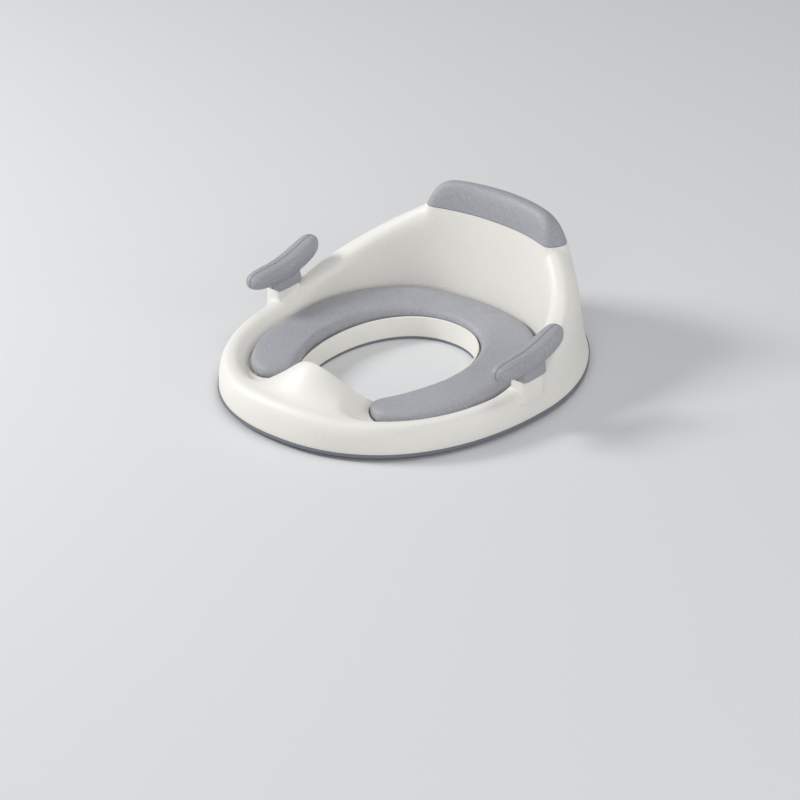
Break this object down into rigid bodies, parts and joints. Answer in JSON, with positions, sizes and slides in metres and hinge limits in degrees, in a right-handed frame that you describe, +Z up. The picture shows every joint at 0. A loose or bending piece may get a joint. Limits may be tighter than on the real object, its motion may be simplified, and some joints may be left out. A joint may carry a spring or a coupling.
{
  "type": "toddler toilet trainer seat",
  "caption": "Toddler toilet trainer seat with raised backrest, padded ring, splash guard and a grab handle on each side.",
  "frame": {"origin": "under the middle of the seat's outline, on the plane of its lowest edge, the soft ring round the opening", "axes": "+Z up, -Y to the front (splash guard, the way the child faces), +X to the right seen from the front"},
  "size_m": [0.333, 0.398, 0.139],
  "materials": {
    "white_pp": "fine matte moulded polypropylene, off-white",
    "cushion_foam": "integral-skin polyurethane foam, cool grey, fine grain",
    "grey_soft_touch": "soft-touch thermoplastic elastomer, cool grey",
    "skid_rubber": "blue-grey anti-slip elastomer",
    "inner_plastic": "plain moulded plastic, hidden in use",
    "screw_steel": "zinc plated"
  },
  "bodies": {
    "seat": {"seat_shell": "white_pp", "backrest_cap": "grey_soft_touch", "backrest_cap_insert": "inner_plastic", "base_plate": "white_pp", "base_plate_screws": "screw_steel", "outer_skid_ring": "skid_rubber", "inner_skid_ring": "skid_rubber"},
    "cushion": {"seat_cushion": "cushion_foam", "cushion_studs": "inner_plastic"},
    "left_handle": {"left_grip_core": "inner_plastic", "left_grip_inner": "grey_soft_touch", "left_grip_outer": "grey_soft_touch"},
    "right_handle": {"right_grip_core": "inner_plastic", "right_grip_inner": "grey_soft_touch", "right_grip_outer": "grey_soft_touch"}
  },
  "joints": [
    {"name": "cushion_lift", "type": "slide", "parent": "seat", "child": "cushion", "axis": [0, 0, 1], "range_m": [0, 0.06]},
    {"name": "left_handle_pull", "type": "slide", "parent": "seat", "child": "left_handle", "axis": [0, 0, 1], "range_m": [0, 0.03]},
    {"name": "right_handle_pull", "type": "slide", "parent": "seat", "child": "right_handle", "axis": [0, 0, 1], "range_m": [0, 0.03]}
  ]
}
